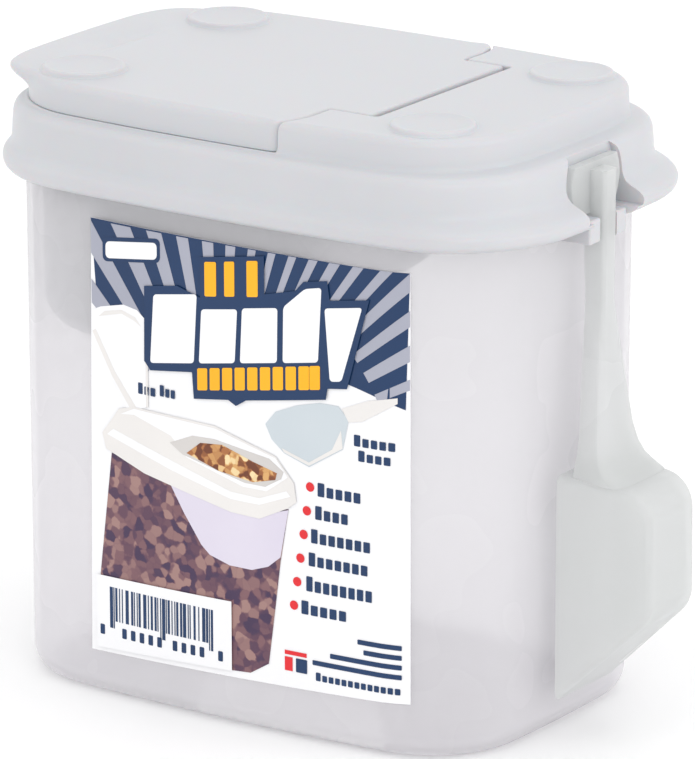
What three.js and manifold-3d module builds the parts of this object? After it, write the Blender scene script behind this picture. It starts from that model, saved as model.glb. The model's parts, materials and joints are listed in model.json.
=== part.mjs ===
// Slim flip-top food dispenser, about one quart, with a clip-on scoop.
// Millimetres, +Z up, origin at the centre of the container's base.
// +X points to the scoop, -Y is the labelled side, the flip door is at the -X end.

import * as THREE from 'three';
import { mergeVertices } from 'three/addons/utils/BufferGeometryUtils.js';
import Module from 'manifold-3d';

const wasm = await Module();
wasm.setup();

// ---------------------------------------------------------------- driving dimensions

const HALF_LENGTH = 60.6;        // container wall at Y = 0, at FLANGE_Z
const HALF_WIDTH = 40.8;         // container wall at X = 0, at FLANGE_Z
const CORNER_RADIUS = 23.5;
const SIDE_BOW_RADIUS = 524;     // the long sides bulge on this radius
const END_BOW_RADIUS = 397;      // and the end walls on this one
const DRAFT = Math.tan(THREE.MathUtils.degToRad(0.27));

const FLANGE_Z = 109.4;          // underside of the lid's rim bead
const RIM_Z = 118.8;             // container rim, inside the lid
const TIER_Z = 124.5;            // ledge that the flip door closes on
const DECK_Z = 131;              // top of the fixed deck and of the door
const NUB_Z = 132;               // top of the stacking nubs
const GAP = 0.4;                 // clearance between neighbouring pieces
const DOOR_GAP = 0.9;            // the wider one around the door's hinge end

const CONTAINER_WALL = 1.3;
const BASE_FILLET = 5.3;
const LID_WALL = 1.7;
const NUB_RADIUS = 8.8;
const NUB_X = 44;                // the four nubs stand at +-NUB_X, +-NUB_Y
const NUB_Y = 26.5;

const FLANGE_REACH = 5.4;        // the rim reaches further out at the scoop end
const SKIRT_REACH = 1.9;         // so does the skirt above it
const LIP_REACH = 4.4;           // thumb lip around the front of the door

const TONGUE_HALF = 24.9;        // door tongue between the hinge sockets
const TONGUE_X = 27.4;
const DOOR_END_X = 17.3;
const SLOT = 1.7;                // open slot past the end of the tongue
const HINGE_X = 25.2;
const HINGE_Z = 128.4;
const PIN_RADIUS = 1.4;

const MOUTH = { x0: -51, x1: 8, half: 30, radius: 12 };
const COLLAR_Z = 127.2;

const TRAY_FLOOR_Z = 75;
const TRAY_WALL = 1.2;
const TRAY_INSET = 3.6;

const HEAD_RADIUS = 9.3;         // round head at the top of the scoop
const HEAD_Z = 117.5;
const HEAD_X = 63.6;
const SEAT_Z = 110.9;            // seat in the rim that the head rests on
const HEAD_TOP_Z = 121.8;        // the head ends under the lid's shoulder
const BLOCK_HALF = 7;
const BLOCK_Z = 105.8;
const SCOOP_WALL = 1.2;
const BOWL_BACK_X = 85;
const BOWL_RIM_X = 64;

// ---------------------------------------------------------------- outline of the body

// The outline is a chain of tangent arcs: a bowed side, a corner and a bowed end.
// It is held as points with their outward normals, so that any offset is exact.
function cornerCentre() {
  let x = HALF_LENGTH - CORNER_RADIUS;
  let y = HALF_WIDTH - CORNER_RADIUS;
  for (let pass = 0; pass < 6; pass += 1) {
    const endTurn = Math.asin(y / (END_BOW_RADIUS - CORNER_RADIUS));
    const sideTurn = Math.asin(x / (SIDE_BOW_RADIUS - CORNER_RADIUS));
    x = HALF_LENGTH - END_BOW_RADIUS + (END_BOW_RADIUS - CORNER_RADIUS) * Math.cos(endTurn);
    y = HALF_WIDTH - SIDE_BOW_RADIUS + (SIDE_BOW_RADIUS - CORNER_RADIUS) * Math.cos(sideTurn);
  }
  return new THREE.Vector2(x, y);
}

function outlineQuarter() {
  const corner = cornerCentre();
  const endTurn = Math.asin(corner.y / (END_BOW_RADIUS - CORNER_RADIUS));
  const sideTurn = Math.asin(corner.x / (SIDE_BOW_RADIUS - CORNER_RADIUS));
  const quarter = [];
  const arc = (cx, cy, radius, from, to, steps) => {
    for (let i = 0; i < steps; i += 1) {
      const turn = from + ((to - from) * i) / steps;
      const nx = Math.cos(turn);
      const ny = Math.sin(turn);
      quarter.push({ x: cx + radius * nx, y: cy + radius * ny, nx, ny });
    }
  };
  arc(HALF_LENGTH - END_BOW_RADIUS, 0, END_BOW_RADIUS, 0, endTurn, 2);
  arc(corner.x, corner.y, CORNER_RADIUS, endTurn, Math.PI / 2 - sideTurn, 7);
  arc(0, HALF_WIDTH - SIDE_BOW_RADIUS, SIDE_BOW_RADIUS, Math.PI / 2 - sideTurn, Math.PI / 2, 3);
  return quarter;
}

function outlinePoints() {
  const quarter = outlineQuarter();
  const top = { x: 0, y: HALF_WIDTH, nx: 0, ny: 1 };
  const half = [...quarter, top, ...quarter.slice(1).reverse().map(p => ({ ...p, x: -p.x, nx: -p.nx }))];
  return [...half, ...half.map(p => ({ x: -p.x, y: -p.y, nx: -p.nx, ny: -p.ny }))];
}

const OUTLINE = outlinePoints();
const CORE = 60;                 // lathe radius that stands for the outline itself
const wall = z => (z - FLANGE_Z) * DRAFT;
const blend = t => THREE.MathUtils.smoothstep(t, 0, 1);

// ---------------------------------------------------------------- solids and booleans

function manifold(geometry) {
  const bare = geometry.index ? geometry.toNonIndexed() : geometry;
  bare.deleteAttribute('normal');
  bare.deleteAttribute('uv');
  const merged = mergeVertices(bare, 1e-5);
  const vertProperties = new Float32Array(merged.attributes.position.array);
  const triVerts = new Uint32Array(merged.index.array);
  return new wasm.Manifold(new wasm.Mesh({ numProp: 3, vertProperties, triVerts }));
}

function named(name, solid, material) {
  const mesh = solid.getMesh();
  const geometry = new THREE.BufferGeometry();
  geometry.setAttribute('position', new THREE.BufferAttribute(new Float32Array(mesh.vertProperties), 3));
  geometry.setIndex(new THREE.BufferAttribute(new Uint32Array(mesh.triVerts), 1));
  geometry.computeVertexNormals();
  const result = new THREE.Mesh(geometry, material);
  result.name = name;
  return result;
}

// A lathe whose circle is replaced by the outline. A profile point is
// [offset, z] or [offset, z, reach, lip]; an offset of -CORE is the centre.
function turned(profile) {
  const points = profile.map(([offset, z]) => new THREE.Vector2(CORE + offset, z));
  const geometry = new THREE.LatheGeometry(points, OUTLINE.length);
  geometry.rotateX(Math.PI / 2);
  const position = geometry.attributes.position;
  for (let i = 0; i < position.count; i += 1) {
    const [offset, z, reach = 0, lip = 0] = profile[i % profile.length];
    const p = OUTLINE[Math.floor(i / profile.length) % OUTLINE.length];
    const toFront = blend((8 - p.x) / 38);
    const total = offset + lip * toFront;
    const along = p.nx > 1e-6 ? reach : 0;
    const centre = offset === -CORE;
    position.setXYZ(i, centre ? 0 : p.x + total * p.nx + along, centre ? 0 : p.y + total * p.ny, z);
  }
  return manifold(geometry);
}

// Upright prism over a plan in X and Y.
function prism(plan, z0, z1) {
  const geometry = new THREE.ExtrudeGeometry(plan, { depth: z1 - z0, bevelEnabled: false, curveSegments: 5 });
  geometry.translate(0, 0, z0);
  return manifold(geometry);
}

// Prism along Y over a side view drawn in X and Z.
function sidePrism(view, y0, y1, steps = 1) {
  const settings = { depth: y1 - y0, bevelEnabled: false, curveSegments: 5, steps };
  const geometry = new THREE.ExtrudeGeometry(view, settings);
  geometry.rotateX(Math.PI / 2);
  geometry.translate(0, y1, 0);
  return geometry;
}

function box(x0, x1, y0, y1, z0, z1) {
  const geometry = new THREE.BoxGeometry(x1 - x0, y1 - y0, z1 - z0);
  geometry.translate((x0 + x1) / 2, (y0 + y1) / 2, (z0 + z1) / 2);
  return manifold(geometry);
}

function cylinderAlongY(radius, x, z, y0, y1, sides = 20) {
  const geometry = new THREE.CylinderGeometry(radius, radius, y1 - y0, sides);
  geometry.translate(x, (y0 + y1) / 2, z);
  return manifold(geometry);
}

function roundedPlan(x0, x1, half, radius) {
  const plan = new THREE.Shape();
  plan.moveTo(x0 + radius, -half);
  plan.absarc(x1 - radius, -half + radius, radius, -Math.PI / 2, 0);
  plan.absarc(x1 - radius, half - radius, radius, 0, Math.PI / 2);
  plan.absarc(x0 + radius, half - radius, radius, Math.PI / 2, Math.PI);
  plan.absarc(x0 + radius, -half + radius, radius, Math.PI, Math.PI * 1.5);
  return plan;
}

// ---------------------------------------------------------------- container

function fillet(offset, z, radius, steps = 3) {
  return Array.from({ length: steps + 1 }, (_, i) => {
    const turn = (i / steps) * (Math.PI / 2);
    return [offset - radius + radius * Math.sin(turn), z + radius - radius * Math.cos(turn)];
  });
}

function container() {
  const floor = 1.5;
  const inner = BASE_FILLET - CONTAINER_WALL;
  const outside = fillet(wall(0), 0, BASE_FILLET);
  const inside = fillet(wall(0) - CONTAINER_WALL, floor, inner).reverse();
  const body = turned([
    [-CORE, 0], ...outside, [wall(RIM_Z), RIM_Z],
    [wall(RIM_Z) - CONTAINER_WALL, RIM_Z], ...inside, [-CORE, floor],
  ]);
  return nubPlaces(1).concat(nubPlaces(-1)).reduce((solid, [x, y]) => {
    const recess = new THREE.CylinderGeometry(NUB_RADIUS + 0.2, NUB_RADIUS + 0.2, 1.4, 24);
    recess.rotateX(Math.PI / 2);
    recess.translate(x, y, 0);
    return solid.subtract(manifold(recess));
  }, body);
}

// ---------------------------------------------------------------- lid

function nubPlaces(side) {
  return [[side * NUB_X, NUB_Y], [side * NUB_X, -NUB_Y]];
}

// Round pad with a dished top, as on a stackable lid.
function nub(x, y) {
  const profile = [[0, DECK_Z - 1], [NUB_RADIUS, DECK_Z - 1], [NUB_RADIUS - 0.2, NUB_Z - 0.3],
    [NUB_RADIUS - 1, NUB_Z], [NUB_RADIUS - 2.4, NUB_Z - 0.1], [0, DECK_Z + 0.3]];
  const geometry = new THREE.LatheGeometry(profile.map(([r, z]) => new THREE.Vector2(r, z)), 24);
  geometry.rotateX(Math.PI / 2);
  geometry.translate(x, y, 0);
  return manifold(geometry);
}

// Plan of the door's hinge end, grown or shrunk, with its tongue ending at tongueX.
function hingeEndPlan(grow, tongueX = TONGUE_X + grow) {
  const endX = DOOR_END_X + grow;
  const side = HALF_WIDTH + 12;
  const plan = new THREE.Shape();
  const half = [[-90, side], [endX - 3.4, side], [endX - 3.4, 40.5], [endX - 1.2, 37.5],
    [endX, 33], [endX, TONGUE_HALF + grow], [tongueX, TONGUE_HALF + grow]];
  half.forEach(([x, y], i) => (i ? plan.lineTo(x, -y) : plan.moveTo(x, -y)));
  half.reverse().forEach(([x, y]) => plan.lineTo(x, y));
  return plan;
}

function lidShell() {
  const inside = -LID_WALL - 0.8;
  return turned([
    [-CORE, DECK_Z], [-2.6, DECK_Z], [-1.5, DECK_Z - 0.35], [-0.95, DECK_Z - 1.4],
    [-0.75, TIER_Z + 0.5], [-0.2, TIER_Z - 0.1, 0.4], [1.1, TIER_Z - 0.6, 1.4],
    [2.0, TIER_Z - 2, SKIRT_REACH], [2.3, 116, SKIRT_REACH], [2.9, 114.4, 2.6],
    [4.3, 113.3, 4.4], [4.8, 112.2, FLANGE_REACH],
    [4.8, 111, FLANGE_REACH], [4.2, FLANGE_Z + 0.1, FLANGE_REACH], [3.4, FLANGE_Z, 4.9],
    [0.7, FLANGE_Z], [0.6, TIER_Z - 3.4], [inside + 1.2, TIER_Z - 1.9],
    [inside, TIER_Z - 1.4], [inside, DECK_Z - LID_WALL], [-CORE, DECK_Z - LID_WALL],
  ].reverse());
}

// Ledge under the door, with the walls of the hinge pocket standing on it.
function lidTier() {
  const walls = prism(hingeEndPlan(DOOR_GAP + LID_WALL, TONGUE_X + SLOT + LID_WALL),
    TIER_Z - LID_WALL - 0.2, DECK_Z - 0.5);
  const body = turned([[-CORE, DECK_Z - 0.5], [-1.6, DECK_Z - 0.5], [-1.6, TIER_Z - 2.1],
    [-CORE, TIER_Z - 2.1]].reverse());
  const collar = prism(roundedPlan(MOUTH.x0 - 1.5, MOUTH.x1 + 1.5, MOUTH.half + 1.5, MOUTH.radius + 1.5),
    TIER_Z - LID_WALL, COLLAR_Z);
  return walls.intersect(body).subtract(hingePocket()).add(collar);
}

function hingePocket() {
  return prism(hingeEndPlan(DOOR_GAP, TONGUE_X + SLOT), TIER_Z, DECK_Z + 9);
}

function lid() {
  const mouth = prism(roundedPlan(MOUTH.x0, MOUTH.x1, MOUTH.half, MOUTH.radius), TIER_Z - 6, DECK_Z);
  const seatX = HEAD_X - GAP;
  let solid = lidShell().subtract(hingePocket());
  solid = solid.add(lidTier()).subtract(mouth);
  nubPlaces(1).forEach(([x, y]) => { solid = solid.add(nub(x, y)); });
  const seatHalf = HEAD_RADIUS + 0.5;
  solid = solid.subtract(box(seatX, 90, -seatHalf, seatHalf, SEAT_Z, HEAD_TOP_Z + GAP));
  solid = solid.add(box(HALF_LENGTH + 0.8, 68.6, -BLOCK_HALF, BLOCK_HALF, BLOCK_Z, SEAT_Z));
  solid = solid.subtract(box(seatX, 90, -3.2, 3.2, BLOCK_Z - 5, SEAT_Z + 5));
  const y1 = TONGUE_HALF + 4;
  const socket = PIN_RADIUS + GAP;
  solid = solid.subtract(cylinderAlongY(socket, HINGE_X, HINGE_Z, TONGUE_HALF - 1, y1));
  return solid.subtract(cylinderAlongY(socket, HINGE_X, HINGE_Z, -y1, -TONGUE_HALF + 1));
}

// ---------------------------------------------------------------- flip door

function doorShell() {
  const skirt = TIER_Z + GAP;
  const inside = -LID_WALL - 0.9;
  return turned([
    [-CORE, DECK_Z], [-3, DECK_Z, 0, LIP_REACH], [-1.7, DECK_Z - 0.2, 0, LIP_REACH],
    [-0.9, DECK_Z - 1, 0, LIP_REACH + 0.3], [-0.8, DECK_Z - 2, 0, LIP_REACH - 0.4],
    [-0.8, DECK_Z - 3.2, 0, 1.6], [-0.8, DECK_Z - 4.2], [-0.8, skirt], [inside, skirt],
    [inside, DECK_Z - LID_WALL], [-CORE, DECK_Z - LID_WALL],
  ].reverse());
}

function door() {
  const skirt = TIER_Z + GAP;
  const plan = hingeEndPlan(0);
  const body = turned([[-CORE, DECK_Z - 1], [-1.2, DECK_Z - 1], [-1.2, skirt], [-CORE, skirt]].reverse());
  const endWall = prism(plan, skirt, DECK_Z - 1)
    .subtract(prism(hingeEndPlan(-LID_WALL), skirt - 1, DECK_Z))
    .intersect(body)
    .subtract(box(DOOR_END_X + 0.01, TONGUE_X + 1, -TONGUE_HALF - 1, TONGUE_HALF + 1, skirt - 1, HINGE_Z - 1));
  let solid = doorShell().intersect(prism(plan, TIER_Z, DECK_Z + 4)).add(endWall);
  solid = solid.add(cylinderAlongY(1.9, HINGE_X, HINGE_Z, -TONGUE_HALF, TONGUE_HALF));
  solid = solid.add(cylinderAlongY(PIN_RADIUS, HINGE_X, HINGE_Z, -TONGUE_HALF - 2.2, TONGUE_HALF + 2.2));
  nubPlaces(-1).forEach(([x, y]) => { solid = solid.add(nub(x, y)); });
  return solid;
}

// ---------------------------------------------------------------- portion tray

// Side view of the tray: flat floor, then a ramp up to the pour-in edge.
function traySide(inset) {
  const side = new THREE.Shape();
  const top = inset ? DECK_Z : TIER_Z - LID_WALL - 0.2 - GAP;
  const floor = TRAY_FLOOR_Z + inset;
  const slant = inset * Math.SQRT2;
  side.moveTo(-70, top);
  side.lineTo(-70, floor);
  side.lineTo(-18, floor);
  side.quadraticCurveTo(-6, floor, 4 - slant * 0.4, 84 + slant * 0.6);
  side.lineTo(28 - slant * 0.5 + (inset ? 4 : 0), 107 + slant * 0.5 + (inset ? 4 : 0));
  side.lineTo(28 + (inset ? 4 : 0), top);
  return side;
}

function tray() {
  const shell = inset => {
    const offset = -TRAY_INSET - inset;
    const z0 = TRAY_FLOOR_Z + inset;
    const round = 8 - inset;
    const low = fillet(offset, z0, round).map(([d, z]) => [d, z]);
    const top = DECK_Z + 1;
    return turned([[-CORE, z0], ...low, [offset, top], [-CORE, top]])
      .intersect(manifold(sidePrism(traySide(inset), -60, 60)));
  };
  return shell(0).subtract(shell(TRAY_WALL));
}

// ---------------------------------------------------------------- scoop

// Half width of the bowl: it narrows from its rim to its back.
const bowlHalf = x => 8.7 + (BOWL_BACK_X - x) * 0.135;

function bowlSide(inset) {
  const rim = BOWL_RIM_X - (inset ? 2 : 0);
  const view = new THREE.Shape();
  view.moveTo(rim, 57.6 - inset);
  view.lineTo(79, 56.4 - inset);
  view.quadraticCurveTo(84.4 - inset, 55.6 - inset, BOWL_BACK_X - inset, 49);
  view.lineTo(BOWL_BACK_X - inset, 34);
  view.quadraticCurveTo(BOWL_BACK_X - inset, 31, 83 - inset, 29 + inset * 0.6);
  view.lineTo(BOWL_RIM_X, 10.4 + inset * 1.4);
  view.lineTo(rim, 10.4 + inset * 1.4);
  return view;
}

function bowlSolid(inset) {
  const geometry = sidePrism(bowlSide(inset), -1, 1);
  const position = geometry.attributes.position;
  for (let i = 0; i < position.count; i += 1) {
    const x = position.getX(i);
    position.setY(i, Math.sign(position.getY(i)) * (bowlHalf(x) - inset));
  }
  return manifold(geometry);
}

// The handle is a channel that opens towards the container. Its back leans
// outwards and fans out towards the bowl.
function handleSection(z) {
  const down = blend((100 - z) / 44);
  const half = 2.5 + 6.3 * down;
  const inner = 64.3 + 2.4 * blend((104 - z) / 42);
  const outer = inner + 4.9 + 0.9 * down;
  return { half, inner, outer };
}

function handleSolid(inset, z0, z1) {
  const geometry = new THREE.BoxGeometry(1, 2, z1 - z0, 1, 1, 9);
  const position = geometry.attributes.position;
  for (let i = 0; i < position.count; i += 1) {
    const z = position.getZ(i) + (z0 + z1) / 2;
    const { half, inner, outer } = handleSection(z);
    const x = position.getX(i) > 0 ? outer - inset : inner - (inset ? 3 : 0);
    position.setXYZ(i, x, position.getY(i) * (half - inset), z);
  }
  return manifold(geometry);
}

function scoopHead() {
  const geometry = new THREE.CylinderGeometry(HEAD_RADIUS, HEAD_RADIUS, 2, 28);
  geometry.rotateZ(Math.PI / 2);
  geometry.translate(HEAD_X + 1, 0, HEAD_Z);
  const above = box(HEAD_X - 2, HEAD_X + 6, -20, 20, SEAT_Z + GAP, HEAD_TOP_Z);
  return manifold(geometry).intersect(above);
}

function scoop() {
  const handle = handleSolid(0, 55, 120.4).subtract(handleSolid(1, 50, 119.2));
  const bowl = bowlSolid(0).subtract(bowlSolid(SCOOP_WALL));
  const hollow = bowlSolid(SCOOP_WALL);
  return handle.subtract(hollow).add(bowl).add(scoopHead());
}

// ---------------------------------------------------------------- label

function label() {
  const z0 = 12;
  const z1 = 104.4;
  const film = 0.25;
  const loop = [[wall(z0) + GAP, z0], [wall(z0) + GAP + film, z0], [wall(z1) + GAP + film, z1],
    [wall(z1) + GAP, z1], [wall(z0) + GAP, z0]];
  return turned(loop).intersect(box(-31.7, 47.3, -60, -20, z0 - 1, z1 + 1));
}

// ---------------------------------------------------------------- assembly

const plastic = (color, roughness, opacity = 1) =>
  new THREE.MeshStandardMaterial({ color, roughness, metalness: 0, opacity, transparent: opacity < 1 });

const dispenser = new THREE.Group();
dispenser.add(
  named('container', container(), plastic(0xe2e2e6, 0.4, 0.5)),
  named('lid', lid(), plastic(0xeeeef0, 0.45)),
  named('flip_door', door(), plastic(0xf0f0f2, 0.45)),
  named('portion_tray', tray(), plastic(0xe6e6ea, 0.45, 0.8)),
  named('scoop', scoop(), plastic(0xdde3e0, 0.4, 0.7)),
  named('front_label', label(), plastic(0x1f4773, 0.5)),
);

export default dispenser;
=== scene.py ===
"""Slim flip-top food dispenser with a portion tray and a clip-on scoop.

Pieces are modelled in millimetres in the frame of the CAD model and written out
in metres. +X points to the scoop, -Y is the labelled side, +Z is up.
"""

import json
import math

import bmesh
import bpy
from mathutils import Matrix, Vector


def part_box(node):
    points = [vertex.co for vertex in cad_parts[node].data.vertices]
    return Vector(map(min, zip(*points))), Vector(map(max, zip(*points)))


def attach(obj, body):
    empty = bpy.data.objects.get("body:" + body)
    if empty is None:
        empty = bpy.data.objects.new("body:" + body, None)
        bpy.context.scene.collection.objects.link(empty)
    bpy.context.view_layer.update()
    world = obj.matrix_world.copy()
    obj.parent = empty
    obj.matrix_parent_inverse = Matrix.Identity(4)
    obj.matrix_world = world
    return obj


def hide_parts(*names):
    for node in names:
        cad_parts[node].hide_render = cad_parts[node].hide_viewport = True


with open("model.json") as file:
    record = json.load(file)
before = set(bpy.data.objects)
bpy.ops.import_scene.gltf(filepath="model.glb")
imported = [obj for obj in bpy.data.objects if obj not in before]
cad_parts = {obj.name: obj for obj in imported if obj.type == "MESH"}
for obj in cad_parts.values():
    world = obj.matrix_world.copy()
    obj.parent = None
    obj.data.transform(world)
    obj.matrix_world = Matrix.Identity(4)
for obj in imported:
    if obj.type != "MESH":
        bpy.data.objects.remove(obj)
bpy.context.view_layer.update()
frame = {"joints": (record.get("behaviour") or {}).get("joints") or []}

MM = 0.001
UP = Vector((0, 0, 1))


# ------------------------------------------------------------- sizes, in millimetres

def node_box(node):
    low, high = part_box(node)
    return Vector(low) / MM, Vector(high) / MM


CONTAINER_HIGH = node_box("container")[1]
LID_HIGH = node_box("lid")[1]
TRAY_LOW, TRAY_HIGH = node_box("portion_tray")
SCOOP_LOW, SCOOP_HIGH = node_box("scoop")
HINGE = Vector(next(j for j in frame["joints"] if j["name"] == "door_hinge")["pos_m"]) / MM

DRAFT = math.tan(math.radians(0.27))
RIM_DEPTH = 9.4                 # the outline is the wall's at the foot of the rim
HALF_LENGTH = CONTAINER_HIGH.x - RIM_DEPTH * DRAFT
HALF_WIDTH = CONTAINER_HIGH.y - RIM_DEPTH * DRAFT
RIM_Z = CONTAINER_HIGH.z
CORNER_RADIUS = 23.5
SIDE_BOW = 524                  # radius that the long sides bulge on
END_BOW = 397                   # radius that the ends bulge on

DECK_Z = LID_HIGH.z - 1
TIER_Z = DECK_Z - 6.5           # ledge that the door closes on
FLANGE_Z = RIM_Z - RIM_DEPTH          # underside of the rim bead
LID_WALL = 1.7
NUB_RADIUS = 8.8
NUB_X = 43.2
NUB_Y = 26

DOOR_SIDE_X = 13.9              # where the door's hinge end meets its sides
DOOR_END_X = 17.3
TONGUE_HALF = 24.9
TONGUE_X = 27.4
SLOT_X = TONGUE_X + 1.7
HEAD_Z = DECK_Z - 13.5          # axis of the scoop's round head
SEAT_X = 63.2                   # inner end of the head's seat in the lid
SEAT_RADIUS = 10.3
SCOOP_SLOT_HALF = 3.2           # half width of the slot for the scoop's handle
LID_REACH_X = 95                # cuts at the scoop end run out past the lid to here
DIP_X = -48.6                   # crease where the thumb dip starts
DIP_LENGTH = 12


# ------------------------------------------------------------- outline of the body

def tangent_turns():
    """Turns of the end and side arcs, and the centre of the corner between them."""
    x = HALF_LENGTH - CORNER_RADIUS
    y = HALF_WIDTH - CORNER_RADIUS
    for _ in range(6):
        end = math.asin(y / (END_BOW - CORNER_RADIUS))
        side = math.asin(x / (SIDE_BOW - CORNER_RADIUS))
        x = HALF_LENGTH - END_BOW + (END_BOW - CORNER_RADIUS) * math.cos(end)
        y = HALF_WIDTH - SIDE_BOW + (SIDE_BOW - CORNER_RADIUS) * math.cos(side)
    return end, side, Vector((x, y, 0))


END_TURN, SIDE_TURN, CORNER = tangent_turns()


def outline_ring(corner_steps=18):
    """The body's outline as a closed ring of edges: three spun arcs, mirrored twice."""
    bm = bmesh.new()
    tip = [bm.verts.new((HALF_LENGTH, 0, 0))]
    arcs = (
        ((HALF_LENGTH - END_BOW, 0, 0), END_TURN, 5),
        (CORNER, math.pi / 2 - END_TURN - SIDE_TURN, corner_steps),
        ((0, HALF_WIDTH - SIDE_BOW, 0), SIDE_TURN, 8),
    )
    for centre, turn, steps in arcs:
        spun = bmesh.ops.spin(bm, geom=tip, cent=centre, axis=UP, angle=turn, steps=steps)
        tip = [item for item in spun["geom_last"] if isinstance(item, bmesh.types.BMVert)]
    for axis in ("X", "Y"):
        whole = bm.verts[:] + bm.edges[:]
        bmesh.ops.mirror(bm, geom=whole, matrix=Matrix.Identity(4), merge_dist=1e-3, axis=axis)
    return bm


def polygon_ring(points, radii=()):
    """A ring through a few points, with its corners rounded by vertex bevels."""
    bm = bmesh.new()
    verts = [bm.verts.new((x, y, 0)) for x, y in points]
    bm.faces.new(verts)
    round_corners(bm, zip(verts, radii))
    bmesh.ops.delete(bm, geom=bm.faces[:], context="FACES_ONLY")
    return bm


def round_corners(bm, corners, segments=6):
    for vert, radius in corners:
        if radius:
            bmesh.ops.bevel(
                bm, geom=[vert], offset=radius, segments=segments, profile=0.5,
                affect="VERTICES", material=-1,
            )


def mark_outward(bm):
    """Stores each ring vertex's home and the step that moves both its edges out by one."""
    face = bmesh.ops.edgeloop_fill(bm, edges=bm.edges[:])["faces"][0]
    face.normal_update()
    if face.normal.z < 0:
        face.normal_flip()
    home = bm.verts.layers.float_vector.new("home")
    out = bm.verts.layers.float_vector.new("out")
    for loop in face.loops:
        here = loop.vert.co
        before = (here - loop.link_loop_prev.vert.co).normalized().cross(UP)
        after = (loop.link_loop_next.vert.co - here).normalized().cross(UP)
        middle = (before + after).normalized()
        loop.vert[out] = middle / middle.dot(before)
        loop.vert[home] = here
    bmesh.ops.delete(bm, geom=[face], context="FACES_ONLY")
    return home, out


def eased(t):
    t = min(max(t, 0), 1)
    return t * t * (3 - 2 * t)


def plain(home, out, point):
    """Place of a ring vertex for a profile point (offset, z, reach towards the scoop)."""
    reach = point[2] if len(point) > 2 else 0
    along = reach * eased(home.x / 12)
    return Vector((home.x + out.x * point[0] + along, home.y + out.y * point[0], point[1]))


def swept(ring, profile, place=plain):
    """Closed solid: the ring is extruded to each profile point and both ends are filled."""
    bm = ring.copy()
    home, out = mark_outward(bm)
    edges = bm.edges[:]
    for vert in bm.verts:
        vert.co = place(vert[home], vert[out], profile[0])
    bmesh.ops.edgeloop_fill(bm, edges=edges)
    for point in profile[1:]:
        made = bmesh.ops.extrude_edge_only(bm, edges=edges)["geom"]
        fresh = {item for item in made if isinstance(item, bmesh.types.BMVert)}
        edges = [
            item for item in made
            if isinstance(item, bmesh.types.BMEdge) and fresh.issuperset(item.verts)
        ]
        for vert in fresh:
            vert.co = place(vert[home], vert[out], point)
    bmesh.ops.edgeloop_fill(bm, edges=edges)
    bmesh.ops.recalc_face_normals(bm, faces=bm.faces[:])
    return bm


# ------------------------------------------------------------- solids

def lathed(profile, centre, axis=UP, steps=48):
    """Solid of revolution from (radius, height) points that start and end on the axis."""
    bm = bmesh.new()
    verts = [bm.verts.new((radius, 0, height)) for radius, height in profile]
    for start, end in zip(verts, verts[1:]):
        bm.edges.new((start, end))
    bmesh.ops.spin(
        bm, geom=bm.verts[:] + bm.edges[:], cent=(0, 0, 0), axis=UP,
        angle=math.tau, steps=steps, use_merge=True,
    )
    bmesh.ops.remove_doubles(bm, verts=bm.verts[:], dist=1e-4)
    bmesh.ops.recalc_face_normals(bm, faces=bm.faces[:])
    turn = UP.rotation_difference(Vector(axis)).to_matrix().to_4x4()
    bmesh.ops.transform(bm, matrix=Matrix.Translation(centre) @ turn, verts=bm.verts[:])
    return bm


def block(low, high, radius=0, segments=3):
    """Box between two corners, with all its edges rounded."""
    bm = bmesh.new()
    bmesh.ops.create_cube(bm, size=1)
    low, high = Vector(low), Vector(high)
    bmesh.ops.scale(bm, vec=high - low, verts=bm.verts[:])
    bmesh.ops.translate(bm, vec=(low + high) / 2, verts=bm.verts[:])
    if radius:
        bmesh.ops.bevel(
            bm, geom=bm.edges[:], offset=radius, segments=segments, profile=0.5,
            affect="EDGES", material=-1,
        )
    return bm


def as_object(bm, name):
    mesh = bpy.data.meshes.new(name)
    bm.to_mesh(mesh)
    bm.free()
    obj = bpy.data.objects.new(name, mesh)
    bpy.context.scene.collection.objects.link(obj)
    return obj


def combined(base, *steps):
    """Joins ("UNION") and cuts ("DIFFERENCE") closed solids in order."""
    host = as_object(base, "host")
    parts = [host]
    for operation, tool in steps:
        part = as_object(tool, "tool")
        parts.append(part)
        step = host.modifiers.new("step", "BOOLEAN")
        step.operation = operation
        step.solver = "EXACT"
        step.object = part
    bpy.context.view_layer.update()
    graph = bpy.context.evaluated_depsgraph_get()
    mesh = bpy.data.meshes.new_from_object(host.evaluated_get(graph))
    result = bmesh.new()
    result.from_mesh(mesh)
    bpy.data.meshes.remove(mesh)
    for part in parts:
        bpy.data.objects.remove(part)
    bmesh.ops.remove_doubles(result, verts=result.verts[:], dist=2e-3)
    bmesh.ops.dissolve_degenerate(result, edges=result.edges[:], dist=1e-3)
    return result


def finish_piece(bm, name, material, body, nodes=(), sharp=32):
    """Writes a bmesh out in metres as a piece that rides on a body."""
    bmesh.ops.scale(bm, vec=(MM, MM, MM), verts=bm.verts[:])
    piece = as_object(bm, name)
    for polygon in piece.data.polygons:
        polygon.use_smooth = True
    piece.data.set_sharp_from_angle(angle=math.radians(sharp))
    weighted = piece.modifiers.new("even_shading", "WEIGHTED_NORMAL")
    weighted.keep_sharp = True
    weighted.weight = 80
    piece.data.materials.append(material)
    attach(piece, body)
    if nodes:
        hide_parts(*nodes)
    return piece


# ------------------------------------------------------------- materials

def colour(code):
    """Linear colour from an sRGB hex value."""
    channels = (int(code[i:i + 2], 16) / 255 for i in (1, 3, 5))
    linear = (c / 12.92 if c <= 0.04045 else ((c + 0.055) / 1.055) ** 2.4 for c in channels)
    return (*linear, 1)


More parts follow.
